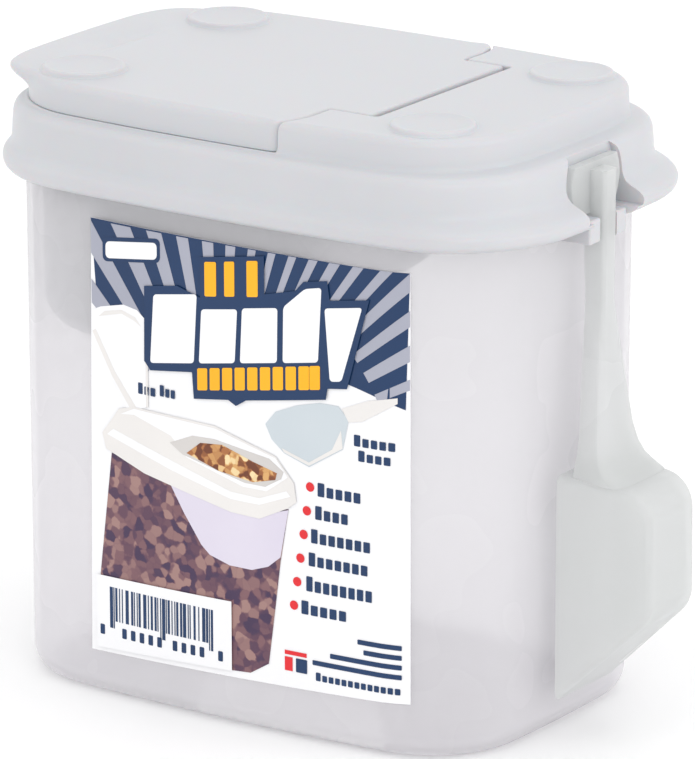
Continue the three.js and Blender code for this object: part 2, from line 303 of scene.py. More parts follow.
def add(tree, kind, settings=None, **links):
    """Adds a node with its settings, and links outputs to its inputs by name."""
    node = tree.nodes.new(kind)
    for name, value in (settings or {}).items():
        if isinstance(name, str) and hasattr(node, name):
            setattr(node, name, value)
        else:
            node.inputs[name].default_value = value
    for name, output in links.items():
        key = int(name[2:]) if name.startswith("in") and name[2:].isdigit() else name.replace("_", " ")
        tree.links.new(output, node.inputs[key])
    return node


def new_material(name):
    material = bpy.data.materials.new(name)
    material.use_nodes = True
    tree = material.node_tree
    tree.nodes.clear()
    return material, tree, tree.nodes.new("ShaderNodeOutputMaterial")


def moulded(tree, base, grain_mm, roughness, shift, **settings):
    """Shader of a moulded polypropylene skin: fine grain, flow mottle and uneven gloss."""
    place = add(tree, "ShaderNodeTexCoord").outputs["Object"]
    flow = add(tree, "ShaderNodeTexNoise", {"Scale": 1 / (28 * MM), "Detail": 2.0}, Vector=place)
    grain = add(tree, "ShaderNodeTexNoise", {"Scale": 1 / (grain_mm * MM), "Detail": 2.0}, Vector=place)
    ramp = add(tree, "ShaderNodeValToRGB", Fac=flow.outputs["Fac"])
    ramp.color_ramp.elements[0].position = 0.3
    ramp.color_ramp.elements[1].position = 0.7
    ramp.color_ramp.elements[0].color = colour(shift)
    ramp.color_ramp.elements[1].color = colour(base)
    gloss = add(
        tree, "ShaderNodeMapRange",
        {"From Min": 0.3, "From Max": 0.7, "To Min": roughness - 0.04, "To Max": roughness + 0.05},
        Value=flow.outputs["Fac"],
    )
    bump = add(
        tree, "ShaderNodeBump", {"Strength": 0.06, "Distance": 0.05 * MM},
        Height=grain.outputs["Fac"],
    )
    return add(
        tree, "ShaderNodeBsdfPrincipled", settings, Base_Color=ramp.outputs["Color"],
        Roughness=gloss.outputs["Result"], Normal=bump.outputs["Normal"],
    )


def white_polypropylene():
    """Moulded white polypropylene: satin, slightly waxy, a faint cool mottle from the flow."""
    material, tree, output = new_material("white_polypropylene_moulded")
    skin = moulded(
        tree, "#C8C9CD", 0.5, 0.36, "#C5C6CA",
        IOR=1.49, **{"Subsurface Weight": 0.25, "Subsurface Scale": 0.002},
    )
    tree.links.new(skin.outputs[0], output.inputs["Surface"])
    return material


def milky_polypropylene(name, base, shift, density, edge_density, roughness):
    """Thin natural polypropylene: light passes, but the milky wall scatters most of it.

    The wall looks denser where it is seen edge on.
    """
    material, tree, output = new_material(name)
    skin = moulded(tree, base, 0.8, roughness, shift, IOR=1.49)
    glow = add(tree, "ShaderNodeBsdfTranslucent", {"Color": colour(base)})
    milk = add(tree, "ShaderNodeMixShader", {0: 0.45}, in1=skin.outputs[0], in2=glow.outputs[0])
    clear = add(tree, "ShaderNodeBsdfTransparent", {"Color": (1, 1, 1, 1)})
    facing = add(tree, "ShaderNodeLayerWeight", {"Blend": 0.35})
    cover = add(
        tree, "ShaderNodeMapRange",
        {"To Min": density, "To Max": edge_density}, Value=facing.outputs["Facing"],
    )
    wall = add(
        tree, "ShaderNodeMixShader",
        Fac=cover.outputs["Result"], in1=clear.outputs[0], in2=milk.outputs[0],
    )
    tree.links.new(wall.outputs[0], output.inputs["Surface"])
    return material


LID_WHITE = white_polypropylene()
CONTAINER_CLEAR = milky_polypropylene(
    "clarified_polypropylene_moulded", "#F4F2F5", "#F2F1F4", 0.36, 0.7, 0.26,
)
TRAY_MILKY = milky_polypropylene(
    "milky_polypropylene_moulded", "#E6E8E9", "#E3E5E7", 0.5, 0.8, 0.3,
)
SCOOP_NATURAL = milky_polypropylene(
    "natural_polypropylene_moulded", "#EBECEC", "#E8EAE9", 0.7, 0.9, 0.24,
)


# ------------------------------------------------------------- container

def wall_offset(z):
    return (z - FLANGE_Z) * DRAFT


def base_fillet(offset, z, radius, steps):
    for i in range(steps + 1):
        turn = math.pi / 2 * i / steps
        yield offset - radius + radius * math.sin(turn), z + radius - radius * math.cos(turn)


def nub_places(side):
    return [(side * NUB_X, y) for y in (-NUB_Y, NUB_Y)]


def make_container():
    wall, floor, fillet = 1.3, 1.5, 5.3
    rim = wall_offset(RIM_Z)
    outer = list(base_fillet(wall_offset(0), 0, fillet, 10))
    outer += [(wall_offset(z), z) for z in (40, 80, RIM_Z - 3.2)]
    outer += [(rim + 0.3, RIM_Z - 2.7), (rim + 0.3, RIM_Z - 1.2), (rim, RIM_Z - 0.5), (rim - 0.3, RIM_Z)]
    inner = list(base_fillet(wall_offset(0) - wall, floor, fillet - wall, 10))
    inner += [(wall_offset(z) - wall, z) for z in (40, 80, RIM_Z - 1)]
    inner += [(rim - 0.9, RIM_Z - 0.2), (rim - 0.9, RIM_Z + 2)]
    ring = outline_ring()
    steps = [("DIFFERENCE", swept(ring, inner))]
    recess = [(0, -1), (NUB_RADIUS + 0.9, -1), (NUB_RADIUS + 0.9, -0.01), (NUB_RADIUS + 0.35, 0.18),
              (NUB_RADIUS + 0.15, 0.5), (NUB_RADIUS - 0.3, 0.7), (0, 0.7)]
    for side in (-1, 1):
        for x, y in nub_places(side):
            steps.append(("DIFFERENCE", lathed(recess, (x, y, 0))))
    body = combined(swept(ring, outer), *steps)
    finish_piece(body, "container_body", CONTAINER_CLEAR, "container", ["container"])


# ------------------------------------------------------------- lid

NUB_PROFILE = [
    (0, -1), (9.3, -1), (9.3, 0.02), (9.05, 0.1), (8.85, 0.32), (8.7, 0.68), (8.45, 0.92), (8.1, 1),
    (7.7, 0.95), (7.1, 0.76), (6.2, 0.6), (4.4, 0.46), (2.2, 0.4), (0, 0.38),
]

# Outside of the lid from its underside up: (offset, z, reach towards the scoop).
LID_PROFILE = [
    (1.2, FLANGE_Z, 0), (3.0, FLANGE_Z + 0.05, 4.9), (3.75, FLANGE_Z + 0.4, 5.2),
    (4.35, FLANGE_Z + 1.05, 5.4), (4.7, FLANGE_Z + 1.85, 5.4), (4.8, FLANGE_Z + 2.7, 5.4),
    (4.7, FLANGE_Z + 3.4, 5.2), (4.4, FLANGE_Z + 4.1, 4.7), (3.95, FLANGE_Z + 4.7, 4.0),
    (3.5, FLANGE_Z + 5.2, 3.3), (3.1, FLANGE_Z + 5.9, 2.6), (2.85, FLANGE_Z + 6.8, 2.2),
    (2.75, FLANGE_Z + 8, 1.9), (2.65, FLANGE_Z + 10, 1.9), (2.5, TIER_Z - 3.2, 1.9),
    (2.35, TIER_Z - 2.3, 1.9), (2.05, TIER_Z - 1.6, 1.9), (1.6, TIER_Z - 1.05, 1.8),
    (1.05, TIER_Z - 0.68, 1.5), (0.5, TIER_Z - 0.45, 1.0), (-0.05, TIER_Z - 0.27, 0.4),
    (-0.45, TIER_Z + 0.08, 0.1), (-0.66, TIER_Z + 0.6, 0), (-0.78, TIER_Z + 1.3, 0),
    (-0.85, DECK_Z - 1.9, 0), (-0.97, DECK_Z - 1.2, 0), (-1.25, DECK_Z - 0.65, 0),
    (-1.65, DECK_Z - 0.27, 0), (-2.2, DECK_Z - 0.06, 0), (-2.8, DECK_Z, 0),
]


def pocket_ring(grow=0):
    """Plan of the door's place in the lid, open past the sides of the deck."""
    side = HALF_WIDTH + 12
    end = DOOR_END_X + 0.5 + grow
    half = [
        (-90, side), (end - 3.4, side), (end - 3.4, 40.5), (end - 1.2, 37.5), (end, 33),
        (end, TONGUE_HALF + 0.35 + grow), (SLOT_X + grow, TONGUE_HALF + 0.35 + grow),
    ]
    radii = [0, 0, 0.9, 1.2, 1.5, 0.8, 1]
    points = half + [(x, -y) for x, y in reversed(half)]
    return polygon_ring(points, radii + radii[::-1])


def rounded_ring(x0, x1, half, radius):
    points = [(x0, -half), (x1, -half), (x1, half), (x0, half)]
    return polygon_ring(points, [radius] * 4)


MOUTH = (-51, 8, 30, 12)        # x0, x1, half width, corner radius


def make_lid():
    ring = outline_ring()
    inside = -2.5
    lower_cavity = [(0.7, FLANGE_Z - 3), (0.7, FLANGE_Z), (0.6, TIER_Z - 3.4), (-1.3, TIER_Z - 1.9)]
    upper_cavity = [(inside, TIER_Z - 2.4), (inside, DECK_Z - LID_WALL)]
    pocket_walls = [(0, TIER_Z - 6), (0, DECK_Z)]
    pocket = [(-0.35, TIER_Z), (-0.1, TIER_Z + 0.1), (0, TIER_Z + 0.4), (0, DECK_Z - 0.55),
              (0.06, DECK_Z - 0.3), (0.2, DECK_Z - 0.1), (0.45, DECK_Z + 0.01), (0.6, DECK_Z + 8)]
    x0, x1, half, radius = MOUTH
    collar = [(1.5, TIER_Z - 1), (1.5, TIER_Z + 2.4), (1.3, TIER_Z + 2.65), (1.0, TIER_Z + 2.7)]
    mouth = [(0, TIER_Z - 8), (0, TIER_Z + 2.3), (0.25, TIER_Z + 2.62), (0.5, TIER_Z + 2.8), (0.5, DECK_Z)]
    seat = [(0, 0), (SEAT_RADIUS, 0), (SEAT_RADIUS, 0.8), (10.6, 1.4), (10.6, 30), (0, 30)]
    seat_z = DECK_Z - 20.1
    under_door = combined(
        swept(ring, upper_cavity), ("DIFFERENCE", swept(pocket_ring(LID_WALL), pocket_walls)),
    )
    steps = [
        ("DIFFERENCE", swept(ring, lower_cavity)),
        ("DIFFERENCE", under_door),
        ("DIFFERENCE", swept(pocket_ring(), pocket)),
        ("UNION", swept(rounded_ring(x0, x1, half, radius), collar)),
        ("DIFFERENCE", swept(rounded_ring(x0, x1, half, radius), mouth)),
    ]
    for x, y in nub_places(1):
        steps.append(("UNION", lathed(NUB_PROFILE, (x, y, DECK_Z))))
    seat_bore = lathed(seat, (SEAT_X, 0, HEAD_Z), axis=(1, 0, 0))
    below_head = block((SEAT_X, -SEAT_RADIUS, seat_z), (LID_REACH_X, SEAT_RADIUS, HEAD_Z))
    pedestal = block((HALF_LENGTH + 0.8, -7, seat_z - 5.1), (68.6, 7, seat_z - 0.01), 0.5)
    slot = block((SEAT_X, -SCOOP_SLOT_HALF, seat_z - 9), (LID_REACH_X, SCOOP_SLOT_HALF, seat_z + 3))
    steps.append(("DIFFERENCE", seat_bore))
    steps.append(("DIFFERENCE", below_head))
    steps.append(("UNION", pedestal))
    steps.append(("DIFFERENCE", slot))
    socket = [(0, 0), (1.8, 0), (1.8, 5), (0, 5)]
    for side in (1, -1):
        place = (HINGE.x, side * (TONGUE_HALF - 1), HINGE.z)
        steps.append(("DIFFERENCE", lathed(socket, place, axis=(0, side, 0), steps=24)))
    body = combined(swept(ring, LID_PROFILE), *steps)
    finish_piece(body, "lid_shell", LID_WHITE, "lid", ["lid"])


# ------------------------------------------------------------- flip door

# Outside of the door from its hem up: (offset, z, lip, offset at the hinge end).
DOOR_PROFILE = [
    (-0.1, TIER_Z + 0.06, 0, -0.3), (0, TIER_Z + 0.14, 0, 0), (0, TIER_Z + 1.9, 0, 0),
    (0, TIER_Z + 2.5, 0.3, 0), (0, TIER_Z + 3.1, 1.1, 0), (0, TIER_Z + 3.8, 2.4, 0),
    (0, TIER_Z + 4.4, 3.5, 0), (-0.05, TIER_Z + 5, 4.25, 0), (-0.2, TIER_Z + 5.5, 4.6, 0),
    (-0.45, TIER_Z + 5.9, 4.75, -0.04), (-0.85, TIER_Z + 6.22, 4.75, -0.13),
    (-1.35, TIER_Z + 6.42, 4.65, -0.32), (-1.95, TIER_Z + 6.5, 4.5, -0.6),
]


def door_ring(grow=0):
    """Plan of the door: the body's outline up to the hinge end, then the hinge tongue."""
    bm = outline_ring()
    home, out = mark_outward(bm)
    for vert in bm.verts:
        vert.co = vert[home] + vert[out] * (grow - 0.8)
    bmesh.ops.edgeloop_fill(bm, edges=bm.edges[:])
    bmesh.ops.bisect_plane(
        bm, geom=bm.verts[:] + bm.edges[:] + bm.faces[:], plane_co=(DOOR_SIDE_X - 1.6, 0, 0),
        plane_no=(1, 0, 0), clear_outer=True,
    )
    bmesh.ops.delete(bm, geom=bm.faces[:], context="FACES_ONLY")
    ends = sorted(bm.verts, key=lambda v: v.co.x)[-2:]
    ends.sort(key=lambda v: -v.co.y)
    straight = [edge for edge in bm.edges if set(edge.verts) == set(ends)]
    bmesh.ops.delete(bm, geom=straight, context="EDGES")
    half = [
        (DOOR_SIDE_X + grow, ends[0].co.y), (DOOR_SIDE_X + 2.2 + grow, HALF_WIDTH - 3.3 + grow),
        (DOOR_END_X + grow, 33), (DOOR_END_X + grow, TONGUE_HALF + grow),
        (TONGUE_X + grow, TONGUE_HALF + grow),
    ]
    radii = [1.6, 1.2, 1.5, 0.5, 0.8]
    points = half + [(x, -y) for x, y in reversed(half)]
    chain = [ends[0]] + [bm.verts.new((x, y, 0)) for x, y in points] + [ends[1]]
    for start, end in zip(chain, chain[1:]):
        bm.edges.new((start, end))
    bmesh.ops.edgeloop_fill(bm, edges=bm.edges[:])
    round_corners(bm, zip(chain[1:-1], radii + radii[::-1]))
    bmesh.ops.delete(bm, geom=bm.faces[:], context="FACES_ONLY")
    for name in ("home", "out"):
        bm.verts.layers.float_vector.remove(bm.verts.layers.float_vector[name])
    return bm


def door_place(home, out, point):
    offset, z, lip, end = point
    on_side = eased((DOOR_SIDE_X + 0.6 - home.x) / 4)
    total = end + (offset - end) * on_side + lip * eased((-50 - home.x) / 8)
    return Vector((home.x + out.x * total, home.y + out.y * total, z))


def thumb_dip(x, y):
    """How far the top is pressed in just behind the lip, from a crease between the pads."""
    along = (DIP_X - x) / DIP_LENGTH
    if not 0 < along < 1:
        return 0
    depth = math.sin(math.pi * along ** 0.6) ** 1.5
    return 0.9 * depth * (1 - eased((abs(y) - 2) / 13))


def shell_cut(bm, point, normal):
    """Adds a line of vertices across the flat top of the door."""
    faces = [f for f in bm.faces if f.normal.z > 0.99 and f.calc_center_median().z > DECK_Z - 0.01]
    edges = list({edge for face in faces for edge in face.edges})
    verts = list({vert for face in faces for vert in face.verts})
    bmesh.ops.bisect_plane(bm, geom=verts + edges + faces, plane_co=point, plane_no=normal)


def make_door():
    shell = swept(door_ring(), DOOR_PROFILE, door_place)
    for x in (DIP_X - 0.15, *(DIP_X - step for step in (0.4, 1, 1.8, 2.8, 4, 5.4, 7, 8.6, 10, 11.2, 12))):
        shell_cut(shell, (x, 0, 0), (1, 0, 0))
    for y in range(-18, 19, 2):
        shell_cut(shell, (0, y, 0), (0, 1, 0))
    for vert in shell.verts:
        if vert.co.z > DECK_Z - 4:
            vert.co.z -= thumb_dip(vert.co.x, vert.co.y)
    inner_ring = door_ring(-LID_WALL)
    cavity = [(0, TIER_Z - 2), (0, DECK_Z - LID_WALL - 0.6), (-0.2, DECK_Z - LID_WALL - 0.15),
              (-0.6, DECK_Z - LID_WALL)]
    x0, x1, half, radius = MOUTH
    seal = [(2.9, TIER_Z + 1.2), (3.0, TIER_Z + 1.5), (3.0, DECK_Z - 1)]
    seal_hole = [(1.9, TIER_Z), (1.9, DECK_Z - LID_WALL)]
    steps = [("DIFFERENCE", swept(inner_ring, cavity))]
    steps.append(("DIFFERENCE", block((DOOR_END_X + 0.01, -TONGUE_HALF - 0.5, TIER_Z - 1),
                                      (TONGUE_X + 1, TONGUE_HALF + 0.5, HINGE.z - 1))))
    rib = combined(swept(rounded_ring(x0, x1, half, radius), seal),
                   ("DIFFERENCE", swept(rounded_ring(x0, x1, half, radius), seal_hole)))
    steps.append(("UNION", rib))
    barrel = [(0, 0), (1.7, 0), (1.9, 0.2), (1.9, 2 * TONGUE_HALF - 0.2), (1.7, 2 * TONGUE_HALF),
              (1.4, 2 * TONGUE_HALF), (0, 2 * TONGUE_HALF)]
    pin = [(0, 0), (1.1, 0), (1.4, 0.3), (1.4, 2 * TONGUE_HALF + 4.1), (1.1, 2 * TONGUE_HALF + 4.4),
           (0, 2 * TONGUE_HALF + 4.4)]
    steps.append(("UNION", lathed(barrel, (HINGE.x, -TONGUE_HALF, HINGE.z), axis=(0, 1, 0), steps=24)))
    steps.append(("UNION", lathed(pin, (HINGE.x, -TONGUE_HALF - 2.2, HINGE.z), axis=(0, 1, 0), steps=24)))
    for x, y in nub_places(-1):
        steps.append(("UNION", lathed(NUB_PROFILE, (x, y, DECK_Z))))
    body = combined(shell, *steps)
    finish_piece(body, "door_flap", LID_WHITE, "door", ["flip_door"])


# ------------------------------------------------------------- portion tray

def side_view(points, half, radii=()):
    """Prism along Y over a side view given as (x, z) points."""
    bm = bmesh.new()
    verts = [bm.verts.new((x, -half, z)) for x, z in points]
    bm.faces.new(verts)
    round_corners(bm, zip(verts, radii), segments=8)
    face = bm.faces[:]
    made = bmesh.ops.extrude_face_region(bm, geom=face)["geom"]
    verts = [item for item in made if isinstance(item, bmesh.types.BMVert)]
    bmesh.ops.translate(bm, vec=(0, 2 * half, 0), verts=verts)
    bmesh.ops.recalc_face_normals(bm, faces=bm.faces[:])
    return bm


def tray_solid(ring, inset):
    floor = TRAY_LOW.z + inset
    offset = -3.6 - inset
    profile = list(base_fillet(offset, floor, 8 - inset, 8)) + [(offset, DECK_Z + 1)]
    top = DECK_Z + 4 if inset else TRAY_HIGH.z
    lift = 4 if inset else 0
    slant = inset * math.sqrt(2)
    view = [(-75, top), (-75, floor), (-8.5 - slant * 0.4, floor),
            (28 + lift - slant * 0.5, 107 + lift + slant * 0.5), (28 + lift, top)]
    radii = [0, 0, 11, 1, 0]
    keep = side_view(view, 60, radii)
    return combined(swept(ring, profile), ("INTERSECT", keep))


def make_tray():
    ring = outline_ring()
    body = combined(tray_solid(ring, 0), ("DIFFERENCE", tray_solid(ring, 1.2)))
    finish_piece(body, "portion_tray_body", TRAY_MILKY, "lid", ["portion_tray"])


# ------------------------------------------------------------- scoop

HANDLE = (  # z, half width, inner x, outer x
    (120.4, 2.5, 64.3, 69.2), (102, 2.2, 64.3, 69.2), (93, 2.2, 64.6, 69.1), (88, 3.0, 64.9, 69.4),
    (79, 4.7, 65.5, 70.2), (72, 5.9, 66.0, 70.8), (66, 6.9, 66.4, 71.4), (62, 7.9, 66.6, 72.3),
    (59.5, 8.8, 66.6, 73.6), (58, 9.4, 66.6, 75.4), (56.5, 9.7, 66.6, 78),
)
HEAD_TOP = DECK_Z - 9.2         # the head ends under the shoulder of the lid
HEAD_FOOT = DECK_Z - 19.7       # and stands just clear of its seat
HEAD_PROFILE = [
    (0, 0), (9, 0), (9.25, 0.25), (9.3, 0.7), (9.3, 1.5), (9.1, 1.85), (8.7, 2), (0, 2),
]
BOWL_BACK_X = SCOOP_HIGH.x
BOWL_RIM_X = 64


def bowl_half(x):
    return 8.7 + (BOWL_BACK_X - x) * 0.135


def bowl_solid(inset):
    rim = BOWL_RIM_X - (3 if inset else 0)
    back = BOWL_BACK_X - inset
    view = [
        (rim, 57.6 - inset), (back - 0.3, 55.9 - inset),
        (back, 29.6 + inset * 0.4), (rim, 8.8 + inset * 1.4),
    ]
    if not inset:
        view[3] = (rim, 9.3)
    bm = side_view(view, 1, [0, 6.2, 3.2, 0])
    for vert in bm.verts:
        vert.co.y = math.copysign(bowl_half(vert.co.x) - inset, vert.co.y)
    rounded = [
        e for e in bm.edges
        if e.verts[0].co.y * e.verts[1].co.y > 0 and max(v.co.x for v in e.verts) > rim + 0.5
    ]
    bmesh.ops.bevel(
        bm, geom=rounded, offset=1.5 if not inset else 0.9, segments=4, profile=0.5,
        affect="EDGES", material=-1, clamp_overlap=True,
    )
    return bm


def handle_solid(inset):
    """Channel section swept down the handle, fanning out to the bowl."""
    def place(home, out, point):
        z, half, inner, outer = point
        low = inner - (4 if inset else 0)
        high = outer - inset
        return Vector((low + (high - low) * (home.x + 1) / 2, home.y * (half - inset), z))

    ring = polygon_ring([(-1, -1), (1, -1), (1, 1), (-1, 1)], [0, 0.4, 0.4, 0])
    stations = [(HANDLE[0][0] - inset, *HANDLE[0][1:]), *HANDLE[1:]]
    return swept(ring, stations, place)


def make_scoop():
    body = combined(
        handle_solid(0), ("DIFFERENCE", handle_solid(1)),
        ("DIFFERENCE", bowl_solid(1.2)),
        ("UNION", combined(bowl_solid(0), ("DIFFERENCE", bowl_solid(1.2)))),
        ("UNION", combined(
            lathed(HEAD_PROFILE, (SCOOP_LOW.x, 0, HEAD_Z), axis=(1, 0, 0), steps=64),
            ("INTERSECT", block((50, -20, HEAD_FOOT), (80, 20, HEAD_TOP), 0.4)),
        )),
    )
    finish_piece(body, "scoop_body", SCOOP_NATURAL, "scoop", ["scoop"])


# ------------------------------------------------------------- printed label

LABEL_CORNERS = ((-31.4, 104.2), (45.8, 103.8), (45.8, 12.6), (-32.6, 10.4))
LABEL_GAP = 0.4                 # film stands this far off the wall
LABEL_FILM = 0.12
INK = 0.02                      # thickness of a printed layer, and the step between layers
BURST = Vector((1.3, 58))       # centre that the silver rays fan out from
RAYS = (                        # first and last angle of every silver ray, in degrees
    (134.6, 139.4), (125.6, 130.2), (116, 120.9), (107.4, 111.7), (99.4, 103), (91.6, 95.1),
    (84.8, 87.8), (78.7, 81), (73.1, 75.2), (67.6, 69.6), (62.4, 64.5), (57.5, 59.8), (52.9, 54.9),
    (48.1, 50), (43.3, 45.8), (37.9, 40.5), (31.6, 34.7), (25.7, 28),
)
PANEL_CENTRE = Vector((7.9, -26.7))
PANEL_RADIUS = 108.4            # arc that closes the blue panel below


def wall_front(x, z):
    """Y of the container's bowed front wall."""
    if abs(x) < SIDE_BOW * math.sin(SIDE_TURN):
        plan = HALF_WIDTH - SIDE_BOW + math.sqrt(SIDE_BOW ** 2 - x * x)
    else:
        plan = CORNER.y + math.sqrt(CORNER_RADIUS ** 2 - (abs(x) - CORNER.x) ** 2)
    return -plan - wall_offset(z)


def at_angle(centre, radius, degrees):
    turn = math.radians(degrees)
    return centre.x + radius * math.cos(turn), centre.y + radius * math.sin(turn)


def bar(x0, x1, z0, z1, rise=0.0):
    """Outline of a bar whose right end may sit higher than its left one."""
    return [(x0, z0), (x1, z0 + rise), (x1, z1 + rise), (x0, z1)]


def disc(x, z, radius, steps=20):
    return [at_angle(Vector((x, z)), radius, 360 * i / steps) for i in range(steps)]


def panel_outline():
    arc = [at_angle(PANEL_CENTRE, PANEL_RADIUS, angle) for angle in range(70, 111, 2)]
    left, right = LABEL_CORNERS[0], LABEL_CORNERS[1]
    return [left, right] + [point for point in arc if left[0] < point[0] < right[0]]


def ray_outline(first, last):
    near = 24 if first > 55 else 42
    return [
        at_angle(BURST, near, first), at_angle(BURST, 90, first),
        at_angle(BURST, 90, last), at_angle(BURST, near, last),
    ]


def trimmed_to_label(bm):
    left = LABEL_CORNERS[0][0]
    right, top = LABEL_CORNERS[1]
    bottom = LABEL_CORNERS[3][1]
    for corner, normal in (((left, 0, 0), (-1, 0, 0)), ((right, 0, 0), (1, 0, 0)),
                           ((0, 0, top), (0, 0, 1)), ((0, 0, bottom), (0, 0, -1))):
        bmesh.ops.bisect_plane(
            bm, geom=bm.verts[:] + bm.edges[:] + bm.faces[:], plane_co=corner, plane_no=normal,
            clear_outer=True,
        )


def printed(name, material, level, outlines, trim=False, thickness=INK, rounding=0.0):
    """Thin closed pieces over outlines given as (x, z) points, laid on the bowed wall."""
    bm = bmesh.new()
    for outline in outlines:
        verts = [bm.verts.new((x, 0, z)) for x, z in outline]
        bm.faces.new(verts)
        if rounding:
            round_corners(bm, [(vert, rounding) for vert in verts], segments=4)
    if trim:
        trimmed_to_label(bm)
    for x in range(-32, 48, 3):
        bmesh.ops.bisect_plane(
            bm, geom=bm.verts[:] + bm.edges[:] + bm.faces[:], plane_co=(x, 0, 0), plane_no=(1, 0, 0),
        )
    made = bmesh.ops.extrude_face_region(bm, geom=bm.faces[:], use_keep_orig=True)["geom"]
    for item in made:
        if isinstance(item, bmesh.types.BMVert):
            item.co.y -= thickness
    lift = LABEL_GAP + (LABEL_FILM + level * 2 * INK if level else 0)
    for vert in bm.verts:
        vert.co.y += wall_front(vert.co.x, vert.co.z) - lift
    bmesh.ops.recalc_face_normals(bm, faces=bm.faces[:])
    nodes = [] if level else ["front_label"]
    return finish_piece(bm, name, material, "container", nodes)


def ink(name, code, shade, roughness=0.32):
    """Flat print under a gloss varnish: a faint halftone mottle keeps it from looking painted."""
    material, tree, output = new_material(name)
    skin = moulded(tree, code, 0.35, roughness, shade, IOR=1.45)
    tree.links.new(skin.outputs[0], output.inputs["Surface"])
    return material


def nut_picture(name, tones, scale_mm):
    """Printed picture of chopped nuts: cells of several browns, softened where they meet."""
    material, tree, output = new_material(name)
    place = add(tree, "ShaderNodeTexCoord").outputs["Object"]
    warp = add(tree, "ShaderNodeTexNoise", {"Scale": 1 / (2.2 * MM), "Detail": 3.0}, Vector=place)
    shift = add(
        tree, "ShaderNodeVectorMath", {"operation": "MULTIPLY_ADD", 1: (0.0016, 0.0016, 0.0016)},
        in0=warp.outputs["Color"], in2=place,
    )
    cells = add(
        tree, "ShaderNodeTexVoronoi",
        {"feature": "SMOOTH_F1", "Scale": 1 / (scale_mm * MM), "Smoothness": 0.35},
        Vector=shift.outputs[0],
    )
    grey = add(tree, "ShaderNodeRGBToBW", Color=cells.outputs["Color"])
    ramp = add(tree, "ShaderNodeValToRGB", Fac=grey.outputs[0])
    ramp.color_ramp.elements[0].position = 0.22
    ramp.color_ramp.elements[0].color = colour(tones[0])
    ramp.color_ramp.elements[1].position = 0.78
    ramp.color_ramp.elements[1].color = colour(tones[-1])
    for i, tone in enumerate(tones[1:-1]):
        ramp.color_ramp.elements.new(0.22 + 0.56 * (i + 1) / (len(tones) - 1)).color = colour(tone)
    skin = add(
        tree, "ShaderNodeBsdfPrincipled", {"Roughness": 0.32, "IOR": 1.45},
        Base_Color=ramp.outputs["Color"],
    )
    tree.links.new(skin.outputs[0], output.inputs["Surface"])
    return material


def word_pieces(x0, x1, z0, z1, step):
    """A word stood in for by short blocks; the first is taller, like a capital."""
    count = max(2, round((x1 - x0) / step))
    pitch = (x1 - x0) / count
    drop = (z1 - z0) * 0.25
    return [
        bar(x0 + i * pitch, x0 + i * pitch + pitch * 0.74, z0, z1 - (drop if i else 0))
        for i in range(count)
    ]


